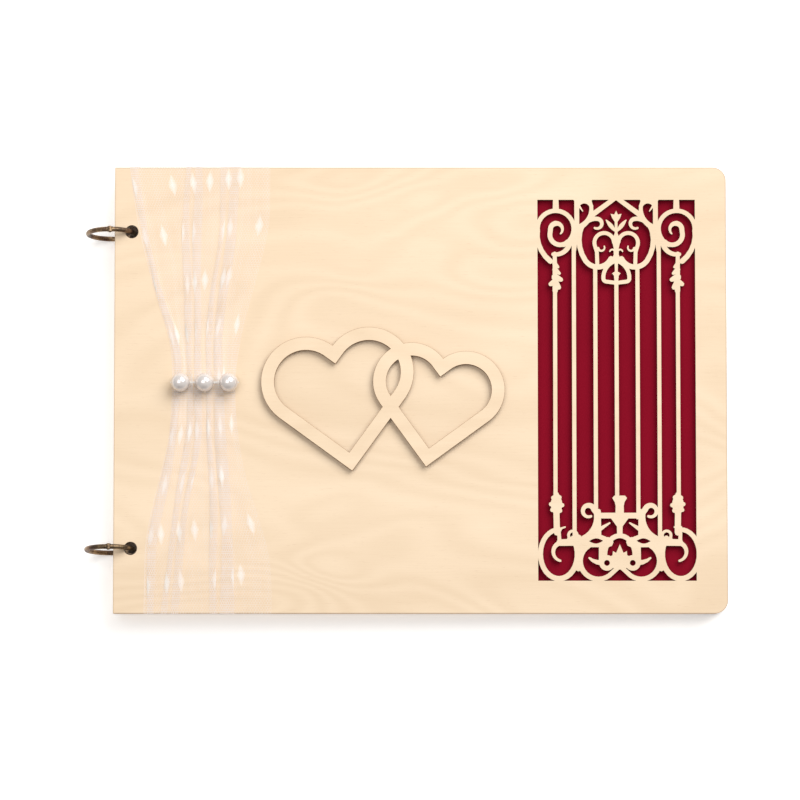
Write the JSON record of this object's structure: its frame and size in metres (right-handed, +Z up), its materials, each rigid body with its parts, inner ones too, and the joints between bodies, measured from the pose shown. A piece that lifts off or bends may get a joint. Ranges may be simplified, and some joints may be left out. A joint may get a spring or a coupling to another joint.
{
  "type": "wedding guest book",
  "caption": "Ring-bound guest book lying flat: plywood covers, leaves on two hinged rings, laser-cut gate window over burgundy, gathered tulle band with pearls, two-heart ornament.",
  "frame": {"origin": "centre of the underside of the back cover", "axes": "+X from the ring spine to the fore edge, +Y to the head, +Z up out of the front cover, book lying flat and closed"},
  "size_m": [0.3146, 0.22, 0.0282],
  "materials": {
    "plywood": "bare sanded birch plywood, 3 mm, edges browned by the laser",
    "burnt_plywood": "bare birch plywood with dark laser-burnt edges",
    "burgundy_card": "smooth burgundy sheet with a slight sheen",
    "tulle": "sheer white net with woven diamond dots",
    "thread": "white sewing thread",
    "pearl": "pearlescent white",
    "antique_bronze": "dark antique bronze plating, rubbed bright in places",
    "card": "matt cream card"
  },
  "bodies": {
    "base": {"back_cover": "plywood", "leaf_01": "card", "leaf_02": "card", "leaf_03": "card", "leaf_04": "card", "leaf_05": "card", "leaf_06": "card", "leaf_07": "card", "leaf_08": "card", "leaf_09": "card", "leaf_10": "card"},
    "cover": {"front_cover": "plywood", "window_backing": "burgundy_card", "heart_ornament": "burnt_plywood", "tulle_band": "tulle", "bead_thread": "thread", "pearl_1": "pearl", "pearl_2": "pearl", "pearl_3": "pearl"},
    "leaf_11": {"leaf_11": "card"},
    "leaf_12": {"leaf_12": "card"},
    "leaf_13": {"leaf_13": "card"},
    "leaf_14": {"leaf_14": "card"},
    "leaf_15": {"leaf_15": "card"},
    "leaf_16": {"leaf_16": "card"},
    "leaf_17": {"leaf_17": "card"},
    "leaf_18": {"leaf_18": "card"},
    "leaf_19": {"leaf_19": "card"},
    "leaf_20": {"leaf_20": "card"},
    "ring_upper": {"ring_upper_fixed_half": "antique_bronze", "ring_upper_rivet": "antique_bronze"},
    "ring_upper_arm": {"ring_upper_moving_half": "antique_bronze"},
    "ring_lower": {"ring_lower_fixed_half": "antique_bronze", "ring_lower_rivet": "antique_bronze"},
    "ring_lower_arm": {"ring_lower_moving_half": "antique_bronze"}
  },
  "joints": [
    {"name": "cover_open", "type": "hinge", "parent": "base", "child": "cover", "pos_m": [-0.152, 0, 0.006], "axis": [0, -1, 0], "range_deg": [0, 174]},
    {"name": "leaf_11_turn", "type": "hinge", "parent": "base", "child": "leaf_11", "pos_m": [-0.152, 0, 0.006], "axis": [0, -1, 0], "range_deg": [0, 174]},
    {"name": "leaf_12_turn", "type": "hinge", "parent": "base", "child": "leaf_12", "pos_m": [-0.152, 0, 0.006], "axis": [0, -1, 0], "range_deg": [0, 174]},
    {"name": "leaf_13_turn", "type": "hinge", "parent": "base", "child": "leaf_13", "pos_m": [-0.152, 0, 0.006], "axis": [0, -1, 0], "range_deg": [0, 174]},
    {"name": "leaf_14_turn", "type": "hinge", "parent": "base", "child": "leaf_14", "pos_m": [-0.152, 0, 0.006], "axis": [0, -1, 0], "range_deg": [0, 174]},
    {"name": "leaf_15_turn", "type": "hinge", "parent": "base", "child": "leaf_15", "pos_m": [-0.152, 0, 0.006], "axis": [0, -1, 0], "range_deg": [0, 174]},
    {"name": "leaf_16_turn", "type": "hinge", "parent": "base", "child": "leaf_16", "pos_m": [-0.152, 0, 0.006], "axis": [0, -1, 0], "range_deg": [0, 174]},
    {"name": "leaf_17_turn", "type": "hinge", "parent": "base", "child": "leaf_17", "pos_m": [-0.152, 0, 0.006], "axis": [0, -1, 0], "range_deg": [0, 174]},
    {"name": "leaf_18_turn", "type": "hinge", "parent": "base", "child": "leaf_18", "pos_m": [-0.152, 0, 0.006], "axis": [0, -1, 0], "range_deg": [0, 174]},
    {"name": "leaf_19_turn", "type": "hinge", "parent": "base", "child": "leaf_19", "pos_m": [-0.152, 0, 0.006], "axis": [0, -1, 0], "range_deg": [0, 174]},
    {"name": "leaf_20_turn", "type": "hinge", "parent": "base", "child": "leaf_20", "pos_m": [-0.152, 0, 0.006], "axis": [0, -1, 0], "range_deg": [0, 174]},
    {"name": "ring_upper_turn", "type": "hinge", "parent": "base", "child": "ring_upper", "pos_m": [-0.152, 0.07725, 0.006], "axis": [0, -0.9945, 0.1045], "range_deg": [-25, 25]},
    {"name": "ring_upper_open", "type": "hinge", "parent": "ring_upper", "child": "ring_upper_arm", "pos_m": [-0.152, 0.07844, 0.01734], "axis": [0, -0.9945, 0.1045], "range_deg": [-60, 0]},
    {"name": "ring_lower_turn", "type": "hinge", "parent": "base", "child": "ring_lower", "pos_m": [-0.152, -0.07815, 0.006], "axis": [0, -0.9945, 0.1045], "range_deg": [-25, 25]},
    {"name": "ring_lower_open", "type": "hinge", "parent": "ring_lower", "child": "ring_lower_arm", "pos_m": [-0.152, -0.07696, 0.01734], "axis": [0, -0.9945, 0.1045], "range_deg": [-60, 0]}
  ],
  "couplings": [
    {"joint": "leaf_11_turn", "follows": "cover_open", "ratio": 0.955},
    {"joint": "leaf_12_turn", "follows": "cover_open", "ratio": 0.9594},
    {"joint": "leaf_13_turn", "follows": "cover_open", "ratio": 0.9638},
    {"joint": "leaf_14_turn", "follows": "cover_open", "ratio": 0.9682},
    {"joint": "leaf_15_turn", "follows": "cover_open", "ratio": 0.9726},
    {"joint": "leaf_16_turn", "follows": "cover_open", "ratio": 0.977},
    {"joint": "leaf_17_turn", "follows": "cover_open", "ratio": 0.9814},
    {"joint": "leaf_18_turn", "follows": "cover_open", "ratio": 0.9858},
    {"joint": "leaf_19_turn", "follows": "cover_open", "ratio": 0.9902},
    {"joint": "leaf_20_turn", "follows": "cover_open", "ratio": 0.9946}
  ]
}
